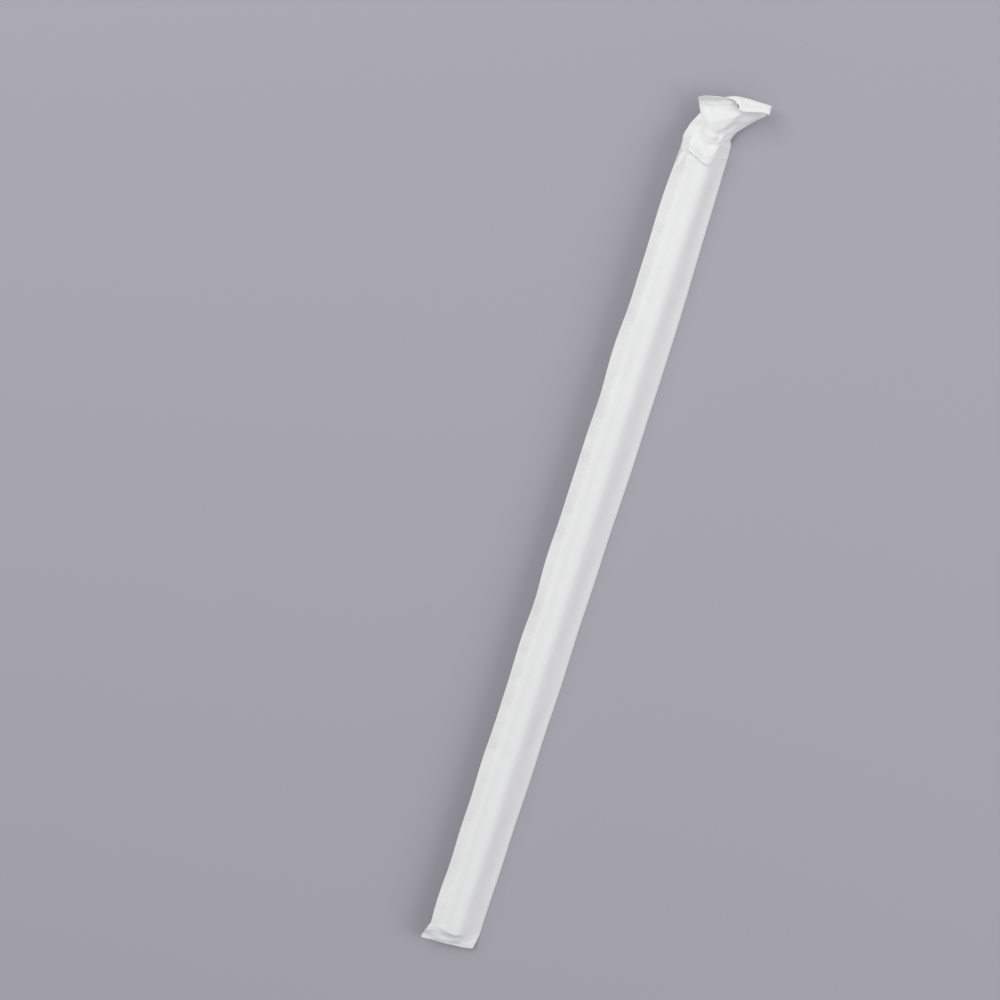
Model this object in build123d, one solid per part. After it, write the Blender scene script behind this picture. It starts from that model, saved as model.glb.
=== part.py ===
"""A drinking straw sealed in its paper wrapper, lying as it comes to rest.

The wrapper is one folded sheet: a fin seam runs along one side and a folded edge along the other, the
bottom end is creased and tucked under, and the top end is crumpled into a fan.  The straw inside can't be
seen, so the sealed packet is one closed solid.

Millimetres, +Z up.  +Y runs along the straw towards the crumpled top end, and +X towards the folded edge.
The origin is the centre of the flat paper facet that the packet lies on, half way along the straw.
"""

from build123d import *
from math import asin, cos, degrees, radians, sin, sqrt
import os

# The straw that the packet holds
straw_length = 260.0
straw_diameter = 7.6

# The paper sleeve round it
paper_ease = 0.1  # paper and slack between the straw's wall and the outside of the packet
fold_flap = 5.75  # from the round of the packet to the folded edge
fold_thickness = 0.25  # two layers of paper at the folded edge
seam_gap = 1.0  # from the round of the packet to the root of the fin seam
fin_width = 3.8
fin_thickness = 0.4  # two layers of paper with their crimped ribs
fin_rise = 6.0  # degrees that the fin lifts out of the packet's middle plane

# The stretch below the top end, where the folded edge draws in
gather_length = 60.0
gather_flap = 4.3  # from the round of the packet to the folded edge at the straw's top end

# The crumpled top end: a cap over the straw's mouth, a waist, then a fan of flat paper with a pleat
cap_height = 1.2
cap_drop = 1.3  # how much lower than the packet's crown the cap's crown is
waist_height = 3.8  # from the straw's end
waist_inset = 0.9  # how far the waist stands in from the folded edge
waist_thickness = 3.2
fan_height = 12.8  # from the straw's end to the fan's near corner, on the seam's side
fan_skew = 3.9  # how much further the far corner reaches
fan_overhang = 7.2  # how far the far corner stands out past the folded edge
fan_width = 21.5
fan_thickness = 0.5
fan_lift = 8.2  # height of the near corner over the surface
fan_pleat = 1.7  # how far the ridge and the valley stand from the fan's middle plane
fan_clearance = 0.9  # height of the waist and of the far corner over the surface
hem_width = 3.2  # the crimped band along the fan's cut edge
hem_rise = 2.4  # how far the band turns up at the far corner

# The bottom end, pressed flat, creased and tucked under
crease_distance = 6.0  # from the straw's end
crease_width = 18.0
crease_thickness = 0.5
crease_clearance = 1.8  # height of the crease over the surface at the folded edge
crease_tilt = 2.6  # how much higher the crease is on the seam's side
crease_inset = 0.8  # how far the crease stands in from the folded edge
tuck_length = 4.4  # the flap tucked back under the crease
tuck_thickness = 0.3
tuck_inset = 0.6  # how far the flap stands in from each end of the crease
tuck_steepness = 0.85  # the tucked flap's slope, as a share of the slope of the paper above it

# Where the bends of the flat paper lie, as shares of its width from the seam
root_share = 0.18
ridge_share = 0.36
valley_share = 0.64
bend_bow = 0.06  # how far a flat stretch bows between its bends

radius = straw_diameter / 2 + paper_ease
half_length = straw_length / 2


def facet_length(flap):
    """Length of the flat facet from under the straw's axis to the folded edge."""
    return sqrt((radius + flap) ** 2 - radius**2)


axis_x = -facet_length(fold_flap) / 2


def polar(centre, reach, angle):
    """Point at a reach and an angle from +X, in degrees, round a centre in the plane across the straw."""
    turn = radians(angle)
    return centre + Vector(cos(turn), 0, sin(turn)) * reach


def closed_outline(corners, crown, keel):
    """Ten-edged wire: an arc over the crown from corner 3, one under the keel from corner 9, lines elsewhere.

    The corners run from the start of the resting facet out to the folded edge, back over the top to the
    fin, and in again below it.
    """
    edges = []
    for index, corner in enumerate(corners):
        following = corners[(index + 1) % len(corners)]
        if index == 3:
            edges.append(Edge.make_three_point_arc(corner, crown, following))
        elif index == 9:
            edges.append(Edge.make_three_point_arc(corner, keel, following))
        else:
            edges.append(Edge.make_line(corner, following))
    return Wire(edges)


def body_outline(y, flap, drop=0.0):
    """Section across the packet where it wraps the straw, with its crown lowered by drop."""
    wrap = radius - drop / 2
    centre = Vector(axis_x, y, wrap)
    reach = wrap + flap
    tilt = degrees(asin(wrap / reach))
    seam_side = 180 - tilt
    root_reach = wrap + seam_gap
    spread = 90 - degrees(asin(wrap / root_reach))
    upper_touch = seam_side - spread
    lower_touch = seam_side + spread
    fold_touch = 90 - 2 * tilt
    across = polar(Vector(), fin_thickness / 2, seam_side - 90)
    root = polar(centre, root_reach, seam_side)
    tip = polar(root, fin_width, seam_side - fin_rise)
    fold = Vector(axis_x + sqrt(reach**2 - wrap**2), y, 0)
    corners = [
        polar(centre, wrap, -90),
        fold,
        fold + Vector(0, 0, fold_thickness),
        polar(centre, wrap, fold_touch),
        polar(centre, wrap, upper_touch),
        root + across,
        tip + across,
        tip - across,
        root - across,
        polar(centre, wrap, lower_touch),
    ]
    crown = polar(centre, wrap, (fold_touch + upper_touch) / 2)
    keel = polar(centre, wrap, (lower_touch + 270) / 2)
    return closed_outline(corners, crown, keel)


def sheet_outline(near, far, thickness, pleat=0.0):
    """Section across flat paper from its near edge, at the seam, to its far edge, at the fold."""
    across = far - near
    up = Vector(0, 0, thickness)
    root = near + across * root_share
    ridge = near + across * ridge_share + Vector(0, 0, pleat)
    valley = near + across * valley_share - Vector(0, 0, pleat)
    middle = (ridge + valley) / 2 + Vector(0, 0, bend_bow)
    corners = [
        valley,
        far,
        far + up,
        valley + up,
        ridge + up,
        root + up,
        near + up,
        near,
        root,
        ridge,
    ]
    return closed_outline(corners, middle + up, middle)


def make_body():
    """The long stretch that wraps the straw, of one section."""
    section = Face(body_outline(-half_length, fold_flap))
    return Solid.extrude(section, Vector(0, straw_length - gather_length, 0))


def make_top():
    """The stretch that draws in, the cap, the waist and the fan with its crimped band turned up."""
    mouth_y = half_length
    fold_x = axis_x + facet_length(gather_flap)
    far_x = fold_x + fan_overhang
    near_x = far_x - sqrt(fan_width**2 - fan_skew**2 - (fan_lift - fan_clearance - hem_rise) ** 2)
    near = Vector(near_x, mouth_y + fan_height, fan_lift)
    far = Vector(far_x, mouth_y + fan_height + fan_skew, fan_clearance + hem_rise)
    hem_near = near - Vector(0, hem_width, 0)
    hem_far = far - Vector(0, hem_width, hem_rise)
    waist_far = Vector(fold_x - waist_inset, mouth_y + waist_height, fan_clearance)
    waist_near = waist_far + Vector(near_x - fold_x, 0, radius - waist_thickness / 2)
    stations = [
        body_outline(mouth_y - gather_length, fold_flap),
        body_outline(mouth_y, gather_flap),
        body_outline(mouth_y + cap_height, gather_flap, cap_drop),
        sheet_outline(waist_near, waist_far, waist_thickness),
        sheet_outline(hem_near, hem_far, fan_thickness, fan_pleat),
        sheet_outline(near, far, fan_thickness, fan_pleat),
    ]
    return Solid.make_loft(stations, ruled=True)


def make_bottom():
    """The end pressed flat from the straw's end to the crease, with the flap tucked under it."""
    end_y = -half_length
    crease_y = end_y - crease_distance
    far_x = axis_x + facet_length(fold_flap) - crease_inset
    near = Vector(far_x - crease_width, crease_y, crease_clearance + crease_tilt)
    far = Vector(far_x, crease_y, crease_clearance)
    wedge = Solid.make_loft(
        [sheet_outline(near, far, crease_thickness), body_outline(end_y, fold_flap)], ruled=True
    )
    return wedge.fuse(make_tuck(near, far))


def make_tuck(near, far):
    """The flap under the crease: a thin plate that slopes down to its cut edge, above the surface."""
    along = (far - near).normalized() * tuck_inset
    sink = crease_thickness / 2
    crease = [near + along, far - along]
    slope = (tuck_length / crease_distance) * tuck_steepness
    cut = [Vector(end.X, end.Y + tuck_length, end.Z * (1 - slope)) for end in crease]
    outlines = []
    for left, right in (crease, cut):
        low = Vector(0, 0, -tuck_thickness)
        high = Vector(0, 0, sink)
        outlines.append(Wire.make_polygon([left + low, right + low, right + high, left + high]))
    return Solid.make_loft(outlines, ruled=True)


packet = make_bottom().fuse(make_body(), make_top())

os.makedirs("parts", exist_ok=True)
export_step(packet, "parts/wrapped_straw.step")
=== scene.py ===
"""Looks of a paper-wrapped drinking straw that lies on a pale floor.

The sealed paper sleeve is one sheet, and it is modelled as one: every point of the paper has a place across
the sheet (s, from the seam's cut edge to the folded edge) and a place along it (v), and a few functions say
where that point lies once the sheet is wrapped, gathered, crumpled and creased.  A grid primitive is then
laid out over the sheet and moved point by point to where the paper is.

All sizes in the classes are in millimetres, and meshes are in metres.
"""

import logging
import math
from dataclasses import dataclass, field
from enum import Enum

import bpy
import numpy as np
from mathutils import Matrix, Vector
from mathutils.geometry import delaunay_2d_cdt

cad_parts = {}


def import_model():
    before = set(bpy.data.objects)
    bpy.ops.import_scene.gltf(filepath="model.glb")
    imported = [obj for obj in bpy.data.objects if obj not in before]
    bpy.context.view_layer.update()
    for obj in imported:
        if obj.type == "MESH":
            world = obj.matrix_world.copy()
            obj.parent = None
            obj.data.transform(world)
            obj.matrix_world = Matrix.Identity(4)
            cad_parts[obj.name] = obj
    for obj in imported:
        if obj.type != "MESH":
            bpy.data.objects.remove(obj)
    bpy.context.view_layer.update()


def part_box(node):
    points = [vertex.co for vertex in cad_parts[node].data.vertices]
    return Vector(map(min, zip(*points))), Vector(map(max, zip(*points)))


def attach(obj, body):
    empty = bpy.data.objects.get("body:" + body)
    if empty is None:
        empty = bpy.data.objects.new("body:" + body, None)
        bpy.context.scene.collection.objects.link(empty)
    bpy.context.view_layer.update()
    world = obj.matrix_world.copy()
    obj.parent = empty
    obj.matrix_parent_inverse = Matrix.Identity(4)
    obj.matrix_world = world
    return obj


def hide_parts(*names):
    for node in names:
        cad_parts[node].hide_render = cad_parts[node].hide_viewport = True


log = logging.getLogger("wrapped_straw")

MM = 0.001
NODE = "wrapped_straw"
BODY = "root"


class Layer(Enum):
    """The two layers of paper: the one seen from above, and the one that lies on the surface."""

    UPPER = "upper"
    LOWER = "lower"


def smooth(value: np.ndarray) -> np.ndarray:
    """Eases a share from 0 to 1, and holds it there outside that range."""
    t = np.clip(value, 0.0, 1.0)
    return t * t * (3.0 - 2.0 * t)


def blend(a: np.ndarray, b: np.ndarray, share: np.ndarray) -> np.ndarray:
    """Mixes two arrays of points by a share for each point."""
    return a + (b - a) * share[..., None]


def ripple(along: np.ndarray, across: np.ndarray, seed: int, length: float, width: float) -> np.ndarray:
    """Gentle uneven waves, about -1 to 1, made of a few sines with settled phases.

    Args:
        along: Places along the sheet.
        across: Places across the sheet.
        seed: Which waves.
        length: The usual wavelength along the sheet.
        width: The usual wavelength across the sheet.

    Returns:
        The wave's height at each place.
    """
    draw = np.random.default_rng(seed)
    total = np.zeros(np.broadcast(along, across).shape)
    waves = 6
    for _ in range(waves):
        f_along = draw.uniform(0.5, 1.8) / length
        f_across = draw.uniform(-1.0, 1.0) / width
        phase = draw.uniform(0.0, 2.0 * math.pi)
        total = total + np.sin(2.0 * math.pi * (along * f_along + across * f_across) + phase)
    return total / math.sqrt(waves) / 1.4


def crumple(along: np.ndarray, across: np.ndarray, seed: int, size: float) -> np.ndarray:
    """Sharp little creases between soft hollows, about -1 to 1.

    Args:
        along: Places along the sheet.
        across: Places across the sheet.
        seed: Which creases.
        size: The usual distance between creases.

    Returns:
        The crease's height at each place.
    """
    draw = np.random.default_rng(seed)
    total = np.zeros(np.broadcast(along, across).shape)
    shares = (1.0, 0.8, 0.6, 0.45)
    for share in shares:
        heading = draw.uniform(0.0, math.pi)
        length = size * draw.uniform(1.2, 2.6) * (0.5 + share)
        place = (along * math.cos(heading) + across * math.sin(heading)) / length
        bend = 0.35 * ripple(along, across, seed + int(100 * share), size * 4, size * 4)
        total = total + share * (1.0 - 2.0 * np.abs(np.sin(math.pi * (place + bend + draw.uniform()))))
    return total / sum(shares)


def soften(points: np.ndarray, along: int, across: int) -> np.ndarray:
    """Rounds the creases of a grid of points a little, and keeps its border where it is.

    Args:
        points: The points, in rows along the sheet.
        along: How many passes along the sheet.
        across: How many passes across it.

    Returns:
        The softer points.
    """
    result = points.copy()
    for _ in range(along):
        result[1:-1] = 0.5 * result[1:-1] + 0.25 * (result[:-2] + result[2:])
    for _ in range(across):
        result[:, 1:-1] = 0.5 * result[:, 1:-1] + 0.25 * (result[:, :-2] + result[:, 2:])
    return result


@dataclass(frozen=True)
class CreasePoint:
    """A corner of a paper facet.

    s and v are its place on the sheet, and x, y and z are its place in the crumple.  gap is the distance to
    the lower layer, and turn says where that layer lies: 0 is below, 90 is beside, towards the crumpled end,
    and 180 is above, as where the sheet is folded over.
    """

    s: float
    v: float
    x: float
    y: float
    z: float
    gap: float = 0.35
    turn: float = 0.0


class Facets:
    """Flat facets of paper between crease points."""

    def __init__(self, points: list[CreasePoint]) -> None:
        """Joins the points into triangles over the sheet."""
        flat = [Vector((p.s, p.v)) for p in points]
        made = delaunay_2d_cdt(flat, [], [], 0, 1e-6)
        self.places = np.array([[c.x, c.y] for c in made[0]])
        self.triangles = np.array(made[2])
        order = [group[0] for group in made[3]]
        rows = [points[i] for i in order]
        self.values = np.array([[p.x, p.y, p.z, p.gap, p.turn] for p in rows])

    def at(self, s: np.ndarray, v: np.ndarray) -> np.ndarray:
        """Gives x, y, z, gap and turn at places on the sheet, with the nearest facet used past the border."""
        flat = np.stack([s.ravel(), v.ravel()], axis=1)
        best = np.full(len(flat), -np.inf)
        found = np.zeros((len(flat), self.values.shape[1]))
        for a, b, c in self.triangles:
            origin, one, two = self.places[a], self.places[b], self.places[c]
            frame = np.stack([one - origin, two - origin], axis=1)
            if abs(np.linalg.det(frame)) < 1e-9:
                continue
            shares = (flat - origin) @ np.linalg.inv(frame).T
            weights = np.stack([1.0 - shares.sum(axis=1), shares[:, 0], shares[:, 1]], axis=1)
            worst = weights.min(axis=1)
            better = worst > best
            held = np.clip(weights, 0.0, None)
            held /= held.sum(axis=1, keepdims=True)
            mixed = held @ self.values[[a, b, c]]
            found[better] = mixed[better]
            best[better] = worst[better]
        return found.reshape(*s.shape, -1)


@dataclass
class Sleeve:
    """The paper sleeve's sizes and its shape as a function of the place on the sheet."""

    straw_length: float = 260.0
    radius: float = 3.9
    fold_flap: float = 5.75
    gather_flap: float = 4.3
    gather_length: float = 60.0
    fold_thickness: float = 0.2
    seam_gap: float = 1.0
    fin_width: float = 3.8
    fin_thickness: float = 0.3
    fin_rise: float = 6.0
    fin_sway: float = 5.0
    hem_dip: float = 0.5
    facet_wave: float = 0.12
    edge_wave: float = 0.16
    root_wave: float = 0.12
    fin_curl: float = 0.035
    web_sag: float = 0.12
    # Brings the largest value of t * t * (1 - t) to 1
    dip_scale: float = 6.75
    # Places across the sheet: the seam's root, the straw's near and far side, and the folded edge
    root: float = 3.8
    near_touch: float = 6.8
    far_touch: float = 12.2
    fold: float = 20.8
    # Places along the sheet, from the straw's ends
    top_overhang: float = 21.0
    bottom_overhang: float = 13.0
    crease_distance: float = 6.3
    crimp_band: float = 3.2
    plain_lip: float = 0.7
    soft_rows: int = 3
    crumple_depth: float = 0.5
    crumple_size: float = 2.9
    crumple_clear: float = 2.0
    crumple_fade: float = 5.0
    crumple_seed: int = 31
    # Over what length each end grows out of the wrapped stretch
    upper_blend: float = 3.0
    top_lower_start: float = 0.5
    top_lower_blend: float = 7.0
    bottom_lower_share: float = 0.8
    floor_gap: float = 0.02
    # Where each end takes over from the wrapped stretch, outwards from the straw's end
    top_begin: float = -9.0
    bottom_begin: float = -3.0

    def __post_init__(self) -> None:
        """Works out the fixed places from the sizes."""
        self.half = self.straw_length / 2
        self.top_end = self.half + self.top_overhang
        self.bottom_end = self.half + self.bottom_overhang
        self.axis_x = -self.facet(self.fold_flap) / 2
        self.mouth_fold_x = self.axis_x + self.facet(self.gather_flap)
        self.top = Facets(self.top_creases())
        self.bottom = Facets(self.bottom_creases())

    def facet(self, flap: float | np.ndarray) -> float | np.ndarray:
        """Gives the length of the flat facet from under the straw to the folded edge."""
        return np.sqrt((self.radius + flap) ** 2 - self.radius**2)

    def wrapped(self, s: np.ndarray, y: np.ndarray, layer: Layer) -> np.ndarray:
        """Says where the paper lies along the stretch that wraps the straw.

        Args:
            s: Places across the sheet.
            y: Places along the straw, from its middle.
            layer: Which layer of paper.

        Returns:
            Points in millimetres, in an array with one more axis than s.
        """
        drawn_in = smooth((y - self.half + self.gather_length) / self.gather_length)
        flap = self.fold_flap + (self.gather_flap - self.fold_flap) * drawn_in
        tilt = np.arcsin(self.radius / (self.radius + flap))
        root_reach = self.radius + self.seam_gap
        spread = math.pi / 2 - math.asin(self.radius / root_reach)
        seam_side = math.pi - tilt
        upper = layer is Layer.UPPER
        sign = 1.0 if upper else -1.0
        near = seam_side - sign * spread
        far = math.pi / 2 - 2 * tilt if upper else np.full_like(tilt, -math.pi / 2)
        if not upper:
            near = near - 2 * math.pi
        sway = np.radians(self.fin_rise + self.fin_sway * ripple(y, 0 * y, 3, 60.0, 1.0))
        lift = seam_side - sway
        half_fin = self.fin_thickness / 2 * sign
        root_x = self.axis_x + root_reach * np.cos(seam_side)
        root_z = self.radius + root_reach * np.sin(seam_side)
        root_z = root_z + self.root_wave * ripple(y, 0 * y, 5, 45.0, 1.0)
        # The fin
        out = np.clip(self.root - s, 0.0, None)
        curl = self.fin_curl * out**2 * ripple(y, 0 * y, 8, 35.0, 1.0)
        fin_x = root_x + out * np.cos(lift) - (half_fin - curl) * np.sin(lift) * -1.0
        fin_z = root_z + out * np.sin(lift) - (half_fin - curl) * np.cos(lift)
        # The straight stretch from the root to the straw
        t = np.clip((s - self.root) / (self.near_touch - self.root), 0.0, 1.0)
        touch_x = self.axis_x + self.radius * np.cos(near)
        touch_z = self.radius + self.radius * np.sin(near)
        start_x = root_x + half_fin * np.sin(lift)
        start_z = root_z - half_fin * np.cos(lift)
        web_x = start_x + (touch_x - start_x) * t
        web_z = start_z + (touch_z - start_z) * t - sign * self.web_sag * np.sin(math.pi * t)
        # The round over the straw
        t = np.clip((s - self.near_touch) / (self.far_touch - self.near_touch), 0.0, 1.0)
        angle = near + (far - near) * t
        round_x = self.axis_x + self.radius * np.cos(angle)
        round_z = self.radius + self.radius * np.sin(angle)
        # The flat facet out to the folded edge
        t = np.clip((s - self.far_touch) / (self.fold - self.far_touch), 0.0, 1.0)
        begin_x = self.axis_x + self.radius * np.cos(far)
        begin_z = self.radius + self.radius * np.sin(far)
        edge = self.edge_wave * ripple(y, 0 * y, 11, 50.0, 1.0)
        end_x = self.axis_x + self.facet(flap) + edge
        end_z = self.fold_thickness if upper else 0.0
        facet_x = begin_x + (end_x - begin_x) * t
        facet_z = begin_z + (end_z - begin_z) * t
        if upper:
            uneven = 1 + 0.5 * ripple(y, 0 * y, 14, 70.0, 1.0)
            dip = self.hem_dip * self.dip_scale * t**2 * (1 - t) * uneven
            bow = self.facet_wave * np.sin(math.pi * t) * ripple(y, s, 17, 28.0, 25.0)
            facet_x = facet_x - (dip - bow) * np.sin(2 * tilt)
            facet_z = facet_z - (dip - bow) * np.cos(2 * tilt)
        parts = [s < self.root, s < self.near_touch, s < self.far_touch]
        x = np.select(parts, [fin_x, web_x, round_x], facet_x)
        z = np.select(parts, [fin_z, web_z, round_z], facet_z)
        return np.stack([x, np.broadcast_to(y, x.shape), np.maximum(z, 0.0)], axis=-1)

    def top_creases(self) -> list[CreasePoint]:
        """Lists the crease points of the crumpled top end.

        x is from the folded edge at the straw's mouth, y is from the mouth, and z is from the surface.
        """
        c = CreasePoint
        end = self.top_overhang
        band = end - self.crimp_band
        return [
            # Where the packet still wraps the straw
            c(0.0, -9.0, -14.1, -9.0, 8.2), c(3.8, -9.0, -11.5, -9.0, 6.3), c(6.8, -9.0, -8.8, -9.0, 7.5),
            c(8.7, -9.0, -7.2, -9.0, 7.8), c(10.5, -9.0, -5.3, -9.0, 7.3), c(12.3, -9.0, -4.0, -9.0, 6.0),
            c(16.0, -9.0, -2.2, -9.0, 3.0), c(20.8, -9.0, 0.0, -9.0, 0.25),
            c(0.0, -6.0, -13.1, -6.0, 7.7), c(3.8, -6.0, -11.4, -6.0, 6.3), c(6.8, -6.0, -8.8, -6.0, 7.5),
            c(8.7, -6.0, -7.2, -6.0, 7.8), c(10.5, -6.0, -5.3, -6.0, 7.3), c(12.3, -6.0, -4.0, -6.0, 6.0),
            c(16.0, -6.0, -2.2, -6.0, 3.0), c(20.8, -6.0, 0.0, -6.0, 0.25),
            # The paper under the hood
            c(7.6, -1.8, -7.4, -2.2, 7.8), c(9.4, -1.8, -5.9, -2.2, 7.4), c(11.0, -1.0, -4.7, -0.4, 6.6),
            c(12.0, 0.5, -4.2, 0.9, 6.1),
            # The hood's rim
            c(5.8, -1.0, -9.8, -3.6, 7.6), c(7.4, 1.4, -7.3, -4.7, 8.5), c(9.4, 1.5, -5.0, -5.0, 8.1),
            c(11.2, 1.6, -3.4, -2.4, 6.8), c(12.2, 2.6, -3.2, 0.5, 6.3), c(13.2, 3.4, -3.8, 2.1, 5.9),
            # The hood's crown, and the dent over the straw's mouth
            c(6.8, 3.4, -8.8, -2.2, 8.5), c(8.8, 3.8, -6.4, -2.4, 8.9), c(10.6, 4.0, -4.7, -1.0, 7.9),
            c(7.6, 6.2, -8.3, 0.0, 7.6), c(9.4, 6.6, -6.3, 0.5, 6.2), c(11.2, 6.8, -4.4, 1.7, 6.3),
            # The seam's side
            c(0.0, -3.0, -12.2, -3.2, 6.9), c(3.8, -3.0, -11.3, -3.2, 6.7),
            c(0.0, 2.0, -15.0, 0.5, 5.9), c(3.8, 2.0, -12.1, -0.7, 7.2), c(5.2, 6.0, -11.0, 2.8, 6.4),
            c(0.0, 8.0, -13.8, 5.3, 6.3), c(3.6, 9.0, -11.0, 5.6, 6.3),
            c(0.0, 13.0, -12.0, 8.9, 6.7), c(3.2, 13.5, -11.3, 9.4, 6.3),
            # The folded edge's side, from the shoulder past the waist
            c(16.0, -1.0, -2.1, -1.0, 3.1), c(20.8, -1.0, 0.0, -1.0, 0.3),
            c(20.8, 2.2, -0.3, 2.2, 0.9), c(17.0, 3.6, -2.2, 2.8, 3.4), c(20.8, 3.9, -1.4, 3.7, 2.4),
            c(20.8, 7.0, 0.1, 6.6, 2.5), c(20.8, 11.7, 3.7, 10.6, 2.4), c(20.8, 15.0, 6.6, 13.4, 3.6),
            # Ridges and valleys of the fan
            c(6.8, 9.4, -8.6, 3.7, 7.9), c(10.2, 9.2, -5.4, 3.3, 7.9), c(9.6, 11.0, -6.4, 4.6, 6.9),
            c(11.8, 9.6, -4.4, 5.1, 5.3), c(11.6, 11.4, -3.8, 6.7, 7.4), c(13.0, 12.8, -2.1, 9.8, 7.5),
            c(14.0, 9.0, -2.6, 7.1, 5.3), c(15.6, 10.4, -0.9, 8.7, 5.0), c(18.6, 13.6, 4.3, 12.2, 4.4),
            c(8.0, 13.5, -7.8, 8.4, 7.8), c(14.0, 14.4, -1.1, 12.0, 7.4),
            # The crimped band's inner edge, and the band
            c(0.4, band, -13.7, 11.9, 6.7), c(3.4, band, -11.2, 12.3, 6.4), c(6.0, band, -8.4, 12.6, 6.8),
            c(10.5, band, -3.6, 13.1, 7.2), c(16.2, band - 2.8, 1.8, 13.8, 5.8),
            c(0.0, end, -14.1, 12.9, 8.3), c(2.2, end, -12.2, 14.0, 8.9), c(6.8, end, -7.4, 15.0, 8.9),
            # The ridge where the band's far half folds forward
            c(9.8, end - 1.6, -3.9, 16.2, 8.2, 0.35, 60.0), c(13.0, end - 2.4, -0.4, 16.7, 7.6, 0.35, 90.0),
            c(17.0, end - 2.8, 3.6, 17.0, 7.0, 0.35, 90.0), c(20.8, end - 2.9, 7.1, 16.9, 6.4, 0.35, 90.0),
            # The cut edge of the folded half
            c(10.6, end, -3.4, 15.0, 8.6, 0.35, 150.0), c(13.2, end, -1.2, 12.4, 8.5, 0.35, 180.0),
            c(18.8, end, 5.7, 14.3, 7.8, 0.35, 180.0), c(20.8, end, 7.5, 13.9, 7.4, 0.35, 180.0),
        ]

    def bottom_creases(self) -> list[CreasePoint]:
        """Lists the crease points of the bottom end, with v measured outwards from the straw's lower end.

        x is from the straw's axis, y is outwards from the straw's end, and z is from the surface.
        """
        c = CreasePoint
        fold_x = self.facet(self.fold_flap)
        crease = self.crease_distance
        end = self.bottom_overhang
        return [
            c(0.0, -3.0, -8.0, -3.0, 7.6), c(3.8, -3.0, -4.5, -3.0, 6.0), c(6.8, -3.0, -1.9, -3.0, 7.3),
            c(8.7, -3.0, 0.0, -3.0, 7.8), c(10.5, -3.0, 1.7, -3.0, 7.4), c(12.2, -3.0, 2.9, -3.0, 6.5),
            c(16.0, -3.0, 5.4, -3.0, 3.0), c(20.8, -3.0, fold_x, -3.0, 0.2),
            c(0.0, 0.0, -8.4, 0.0, 7.3), c(3.8, 0.0, -4.9, 0.0, 6.0), c(6.8, 0.0, -2.0, 0.0, 7.2),
            c(8.7, 0.3, 0.0, 0.3, 7.7), c(10.5, 0.2, 1.7, 0.2, 7.3), c(12.2, 0.0, 3.0, 0.0, 6.2),
            c(16.0, 0.0, 5.5, 0.0, 3.0), c(20.8, 0.0, fold_x, 0.0, 0.3),
            c(8.6, 2.6, -0.3, 2.0, 5.6), c(10.8, 2.4, 2.2, 1.9, 5.3), c(5.6, 2.6, -3.4, 2.2, 5.6),
            c(13.6, 2.4, 4.4, 2.0, 3.8), c(17.4, 2.6, 6.6, 2.2, 2.0), c(20.8, 3.0, fold_x - 0.3, 2.7, 0.9),
            c(0.0, 3.0, -9.0, 2.7, 6.0),
            c(0.0, crease, -9.4, 5.7, 4.7, 0.35, 90.0), c(4.0, crease, -6.0, 6.0, 4.2, 0.35, 90.0),
            c(8.6, crease, -1.4, 6.0, 3.6, 0.35, 90.0), c(12.0, crease, 2.0, 6.0, 3.1, 0.35, 90.0),
            c(16.4, crease, 5.4, 5.9, 2.5, 0.35, 90.0), c(20.8, crease, 8.0, 5.6, 2.1, 0.35, 90.0),
            c(0.0, end, -7.0, 0.6, 3.0, 0.3, 180.0), c(6.0, end, -3.6, 0.2, 0.8, 0.3, 180.0),
            c(12.0, end, 1.9, 0.4, 0.15, 0.3, 180.0), c(20.8, end, 7.8, 0.9, 0.15, 0.3, 180.0),
        ]

    def paper(self, s: np.ndarray, v: np.ndarray, layer: Layer) -> np.ndarray:
        """Says where the paper lies anywhere on the sheet, the two ends included.

        Args:
            s: Places across the sheet.
            v: Places along the sheet, from the straw's middle.
            layer: Which layer of paper.

        Returns:
            Points in millimetres, in an array with one more axis than s.
        """
        points = self.wrapped(s, np.clip(v, -self.half - 3.0, self.half + 3.0), layer)
        top, bottom = v - self.half, -v - self.half
        fold_x, axis_x = self.mouth_fold_x, self.axis_x
        points = self.with_end(points, s, top, layer, self.top, self.top_begin, fold_x, 1.0)
        return self.with_end(points, s, bottom, layer, self.bottom, self.bottom_begin, axis_x, -1.0)

    def with_end(
        self,
        points: np.ndarray,
        s: np.ndarray,
        out: np.ndarray,
        layer: Layer,
        facets: Facets,
        begin: float,
        base_x: float,
        side: float,
    ) -> np.ndarray:
        """Turns the wrapped stretch into one of the two ends.

        Args:
            points: The paper as it would wrap the straw.
            s: Places across the sheet.
            out: Places along the sheet, outwards from the straw's end.
            layer: Which layer of paper.
            facets: The end's facets.
            begin: Where the end begins, as a place outwards.
            base_x: Where the facets' x is measured from.
            side: 1 for the top end, and -1 for the bottom end.

        Returns:
            The points with that end's own in place.
        """
        rows = out[:, 0] > begin
        if not rows.any():
            return points
        held = facets.at(s[rows], out[rows])
        held = soften(held, self.soft_rows, 1)
        angle = np.radians(held[..., 4])
        gap = held[..., 3]
        worn = smooth((out[rows] - begin - self.crumple_clear) / self.crumple_fade)
        creases = crumple(out[rows], s[rows], self.crumple_seed, self.crumple_size)
        held[..., 2] += self.crumple_depth * worn * creases
        upper = np.stack([base_x + held[..., 0], side * (self.half + held[..., 1]), held[..., 2]], axis=-1)
        away = np.stack([0 * gap, gap * np.sin(angle), -gap * np.cos(angle)], axis=-1)
        result = points.copy()
        near = smooth((out[rows] - begin) / self.upper_blend)
        if layer is Layer.UPPER:
            result[rows] = blend(points[rows], upper, near)
        else:
            lower = upper + away
            if side > 0:
                share = smooth((out[rows] - self.top_lower_start) / self.top_lower_blend)
            else:
                share = smooth(out[rows] / (self.crease_distance * self.bottom_lower_share))
            result[rows] = blend(points[rows], lower, share)
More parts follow.
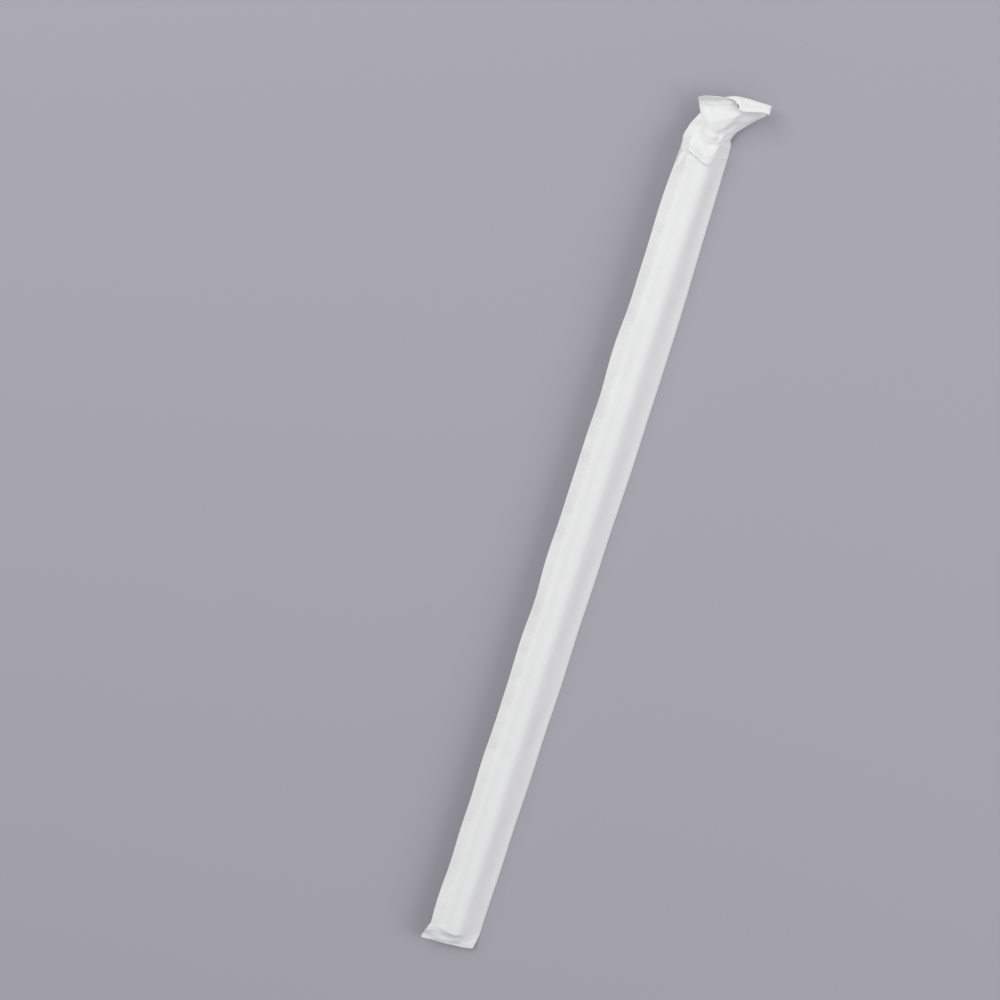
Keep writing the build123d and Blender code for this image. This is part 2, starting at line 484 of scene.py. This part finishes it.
        result[..., 2] = np.maximum(result[..., 2], self.floor_gap if layer is Layer.UPPER else 0.0)
        return result


@dataclass(frozen=True)
class PaperFinish:
    """Thin matt white wrapping paper, with its fibre, its crimped bands and its soft mottling."""

    name: str = "wrapper_paper"
    pale: tuple[float, float, float, float] = (0.855, 0.853, 0.845, 1.0)
    dull: tuple[float, float, float, float] = (0.815, 0.812, 0.802, 1.0)
    roughness: float = 0.82
    specular: float = 0.3
    mottle_scale: float = 160.0
    fibre_scale: float = 1500.0
    fibre_bump: float = 0.22
    fibre_height: float = 0.00012
    crimp_bump: float = 0.55
    crimp_height: float = 0.00025
    dash_pitch: float = 0.95
    dash_row: float = 0.85

    def build(self, sleeve: Sleeve) -> bpy.types.Material:
        """Makes the material.

        Args:
            sleeve: The sleeve, for where its crimped bands are.

        Returns:
            The material.
        """
        material = bpy.data.materials.new(self.name)
        material.use_nodes = True
        tree = material.node_tree
        nodes, links = tree.nodes, tree.links
        shader = nodes["Principled BSDF"]
        shader.inputs["Roughness"].default_value = self.roughness
        shader.inputs["Specular IOR Level"].default_value = self.specular
        coords = nodes.new("ShaderNodeTexCoord")
        mottle = nodes.new("ShaderNodeTexNoise")
        mottle.inputs["Scale"].default_value = self.mottle_scale
        mottle.inputs["Detail"].default_value = 5.0
        links.new(coords.outputs["Object"], mottle.inputs["Vector"])
        tint = nodes.new("ShaderNodeMix")
        tint.data_type = "RGBA"
        tint.inputs[6].default_value = self.dull
        tint.inputs[7].default_value = self.pale
        links.new(mottle.outputs["Fac"], tint.inputs["Factor"])
        links.new(tint.outputs[2], shader.inputs["Base Color"])
        fibre = nodes.new("ShaderNodeTexNoise")
        fibre.inputs["Scale"].default_value = self.fibre_scale
        fibre.inputs["Detail"].default_value = 3.0
        links.new(coords.outputs["Object"], fibre.inputs["Vector"])
        grain = nodes.new("ShaderNodeBump")
        grain.inputs["Strength"].default_value = self.fibre_bump
        grain.inputs["Distance"].default_value = self.fibre_height
        links.new(fibre.outputs["Fac"], grain.inputs["Height"])
        dashes = nodes.new("ShaderNodeBump")
        dashes.inputs["Strength"].default_value = self.crimp_bump
        dashes.inputs["Distance"].default_value = self.crimp_height
        links.new(self.dash_height(tree, coords.outputs["UV"], sleeve), dashes.inputs["Height"])
        links.new(grain.outputs["Normal"], dashes.inputs["Normal"])
        links.new(dashes.outputs["Normal"], shader.inputs["Normal"])
        return material

    def dash_height(
        self, tree: bpy.types.NodeTree, place: bpy.types.NodeSocket, sleeve: Sleeve
    ) -> bpy.types.NodeSocket:
        """Makes the rows of short dashes in the bands at both ends.

        Args:
            tree: The material's nodes.
            place: The place on the sheet, in millimetres.
            sleeve: The sleeve, for where its crimped bands are.

        Returns:
            The dashes' height.
        """
        links = tree.links

        def maths(
            kind: str, first: bpy.types.NodeSocket, second: float | bpy.types.NodeSocket
        ) -> bpy.types.NodeSocket:
            """Adds one Math node.

            Args:
                kind: What it works out.
                first: Its first value.
                second: Its second value.

            Returns:
                The result.
            """
            node = tree.nodes.new("ShaderNodeMath")
            node.operation = kind
            links.new(first, node.inputs[0])
            if isinstance(second, float):
                node.inputs[1].default_value = second
            else:
                links.new(second, node.inputs[1])
            return node.outputs[0]

        split = tree.nodes.new("ShaderNodeSeparateXYZ")
        links.new(place, split.inputs[0])
        across = maths("SINE", maths("MULTIPLY", split.outputs[0], math.tau / self.dash_pitch), 0.0)
        along = maths("SINE", maths("MULTIPLY", split.outputs[1], math.tau / self.dash_row), 0.0)
        both = maths("MULTIPLY", maths("MAXIMUM", across, 0.0), maths("MAXIMUM", along, 0.0))
        top = maths("GREATER_THAN", split.outputs[1], sleeve.top_end - sleeve.crimp_band)
        lip = maths("LESS_THAN", split.outputs[1], sleeve.top_end - sleeve.plain_lip)
        bottom = maths("LESS_THAN", split.outputs[1], sleeve.crimp_band - sleeve.bottom_end)
        band = maths("MAXIMUM", maths("MULTIPLY", top, lip), bottom)
        return maths("MULTIPLY", both, band)


@dataclass
class Wrapper:
    """Builds the paper sleeve as one closed mesh."""

    sleeve: Sleeve
    columns: int = 30
    row_pitch: float = 0.19
    rib_pitch: float = 0.57
    rib_depth: float = 0.18
    rib_inner: float = 3.5
    rib_outer: float = 0.55
    inset: float = 0.02
    weld: float = 1e-6

    def build(self, limits: tuple[Vector, Vector]) -> bpy.types.Object:
        """Lays a grid over the sheet, moves it to where the paper is and closes it.

        Args:
            limits: The lowest and highest corners that the sleeve stays between, in metres.

        Returns:
            The sleeve's object.
        """
        points, places = self.ring(limits)
        rows, columns = points.shape[:2]
        bpy.ops.object.select_all(action="DESELECT")
        bpy.ops.mesh.primitive_grid_add(x_subdivisions=columns - 1, y_subdivisions=rows - 1, size=1.0)
        piece = bpy.context.active_object
        piece.name = "paper_wrapper"
        mesh = piece.data
        flat = np.empty(len(mesh.vertices) * 3)
        mesh.vertices.foreach_get("co", flat)
        flat = flat.reshape(-1, 3)
        column = np.rint((flat[:, 0] + 0.5) * (columns - 1)).astype(int)
        row = np.rint((flat[:, 1] + 0.5) * (rows - 1)).astype(int)
        mesh.vertices.foreach_set("co", (points[row, column] * MM).ravel())
        corner = np.empty(len(mesh.loops), dtype=int)
        mesh.loops.foreach_get("vertex_index", corner)
        layer = mesh.uv_layers.active or mesh.uv_layers.new(name="sheet")
        layer.data.foreach_set("uv", places[row[corner], column[corner]].ravel())
        mesh.update()
        bpy.ops.object.mode_set(mode="EDIT")
        bpy.ops.mesh.select_all(action="SELECT")
        bpy.ops.mesh.remove_doubles(threshold=self.weld)
        bpy.ops.mesh.normals_make_consistent(inside=False)
        bpy.ops.object.mode_set(mode="OBJECT")
        bpy.ops.object.shade_smooth()
        piece.select_set(False)
        return piece

    def ring(self, limits: tuple[Vector, Vector]) -> tuple[np.ndarray, np.ndarray]:
        """Works out the points of the closed ring of paper, row by row.

        Args:
            limits: The lowest and highest corners that the sleeve stays between, in metres.

        Returns:
            The points in millimetres, and each one's place on the sheet.
        """
        sleeve = self.sleeve
        across = self.stations()
        count = int((sleeve.top_end + sleeve.bottom_end) / self.row_pitch)
        along = np.linspace(-sleeve.bottom_end, sleeve.top_end, count)
        v, s = np.meshgrid(along, across, indexing="ij")
        upper = sleeve.paper(s, v, Layer.UPPER)
        lower = sleeve.paper(s, v, Layer.LOWER)
        relief = self.ribs(s, v)
        upper[..., 2] += relief
        lower[..., 2] += relief
        ring = np.concatenate([upper, lower[:, ::-1], upper[:, :1]], axis=1)
        place = np.stack([s, v], axis=-1)
        places = np.concatenate([place, place[:, ::-1], place[:, :1]], axis=1)
        middle = (upper + lower) / 2
        closed = np.concatenate([middle, middle[:, ::-1], middle[:, :1]], axis=1)
        ring = np.concatenate([closed[:1], ring, closed[-1:]], axis=0)
        places = np.concatenate([places[:1], places, places[-1:]], axis=0)
        low = np.array(limits[0]) / MM + self.inset
        high = np.array(limits[1]) / MM - self.inset
        low[2] = 0.0
        return np.clip(ring, low, high), places

    def stations(self) -> np.ndarray:
        """Gives the places across the sheet, closer together where the paper turns."""
        sleeve = self.sleeve
        fin = np.linspace(0.0, sleeve.root, 8)
        web = np.linspace(sleeve.root, sleeve.near_touch, 5)[1:]
        turn = np.linspace(sleeve.near_touch, sleeve.far_touch, 9)[1:]
        rest = np.linspace(sleeve.far_touch, sleeve.fold, self.columns - 19)[1:]
        return np.concatenate([fin, web, turn, rest])

    def ribs(self, s: np.ndarray, v: np.ndarray) -> np.ndarray:
        """Gives the height of the crimped ribs pressed across the seam.

        Args:
            s: Places across the sheet.
            v: Places along the sheet.

        Returns:
            Heights in millimetres.
        """
        band = smooth((s - self.rib_outer + 0.3) / 0.3) * smooth((self.rib_inner - s) / 0.4)
        press = 0.6 + 0.4 * ripple(v, s, 23, 9.0, 40.0)
        return self.rib_depth * band * press * np.sin(math.tau * v / self.rib_pitch)


@dataclass
class Studio:
    """The pale floor, the soft lights and the camera."""

    floor_size: float = 6.0
    floor_shade: tuple[float, float, float, float] = (0.405, 0.392, 0.43, 1.0)
    world_shade: tuple[float, float, float, float] = (0.95, 0.96, 1.0, 1.0)
    world_strength: float = 0.5
    distance: float = 0.601
    tilt: float = 13.0
    lean: float = 17.3
    aim_right: float = -0.0286
    aim_up: float = 0.0134
    lens: float = 70.0
    lights: list[tuple[str, tuple[float, float, float], float, float]] = field(
        default_factory=lambda: [
            ("key_softbox", (-0.65, 0.5, 0.85), 0.8, 6.0),
            ("fill_softbox", (0.8, 0.3, 0.75), 0.8, 4.2),
        ]
    )

    def build(self) -> None:
        """Adds everything that isn't part of the straw."""
        self.add_floor()
        self.add_world()
        for name, place, size, power in self.lights:
            self.add_light(name, Vector(place), size, power)
        self.add_camera()

    def add_floor(self) -> None:
        """Adds the plain floor."""
        bpy.ops.object.select_all(action="DESELECT")
        bpy.ops.mesh.primitive_plane_add(size=self.floor_size)
        floor = bpy.context.active_object
        floor.name = "floor"
        material = bpy.data.materials.new("floor_paint")
        material.use_nodes = True
        shader = material.node_tree.nodes["Principled BSDF"]
        shader.inputs["Base Color"].default_value = self.floor_shade
        shader.inputs["Roughness"].default_value = 0.9
        shader.inputs["Specular IOR Level"].default_value = 0.1
        floor.data.materials.append(material)
        floor.select_set(False)

    def add_world(self) -> None:
        """Sets the even light of the room."""
        world = bpy.data.worlds.new("studio")
        world.use_nodes = True
        ground = world.node_tree.nodes["Background"]
        ground.inputs["Color"].default_value = self.world_shade
        ground.inputs["Strength"].default_value = self.world_strength
        bpy.context.scene.world = world

    def add_light(self, name: str, place: Vector, size: float, power: float) -> None:
        """Adds one square soft light that points at the straw."""
        data = bpy.data.lights.new(name, "AREA")
        data.size = size
        data.energy = power
        light = bpy.data.objects.new(name, data)
        light.location = place
        light.rotation_euler = (-place).to_track_quat("-Z", "Y").to_euler()
        bpy.context.collection.objects.link(light)

    def add_camera(self) -> None:
        """Adds the camera, which looks down on the straw with its crumpled end nearer."""
        tilt, lean = math.radians(self.tilt), math.radians(self.lean)
        side = Vector((1.0, 0.0, 0.0))
        rise = Vector((0.0, math.cos(tilt), -math.sin(tilt)))
        back = Vector((0.0, math.sin(tilt), math.cos(tilt)))
        right = side * math.cos(lean) + rise * math.sin(lean)
        up = rise * math.cos(lean) - side * math.sin(lean)
        aim = Vector((0.0, 0.005, 0.0)) + right * self.aim_right + up * self.aim_up
        data = bpy.data.cameras.new("camera")
        data.lens = self.lens
        data.sensor_width = 36.0
        data.clip_start = 0.01
        camera = bpy.data.objects.new("camera", data)
        camera.matrix_world = Matrix((right, up, back)).transposed().to_4x4()
        camera.location = aim + back * self.distance
        bpy.context.collection.objects.link(camera)
        bpy.context.scene.camera = camera


def main() -> None:
    """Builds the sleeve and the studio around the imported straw."""
    logging.basicConfig(level=logging.INFO, format="%(name)s: %(message)s")
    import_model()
    bpy.context.scene.view_settings.view_transform = "Standard"
    sleeve = Sleeve()
    piece = Wrapper(sleeve).build(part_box(NODE))
    piece.data.materials.clear()
    piece.data.materials.append(PaperFinish().build(sleeve))
    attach(piece, BODY)
    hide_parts(NODE)
    log.info("built %s with %d faces", piece.name, len(piece.data.polygons))
    Studio().build()


if __name__ == "__main__":
    main()
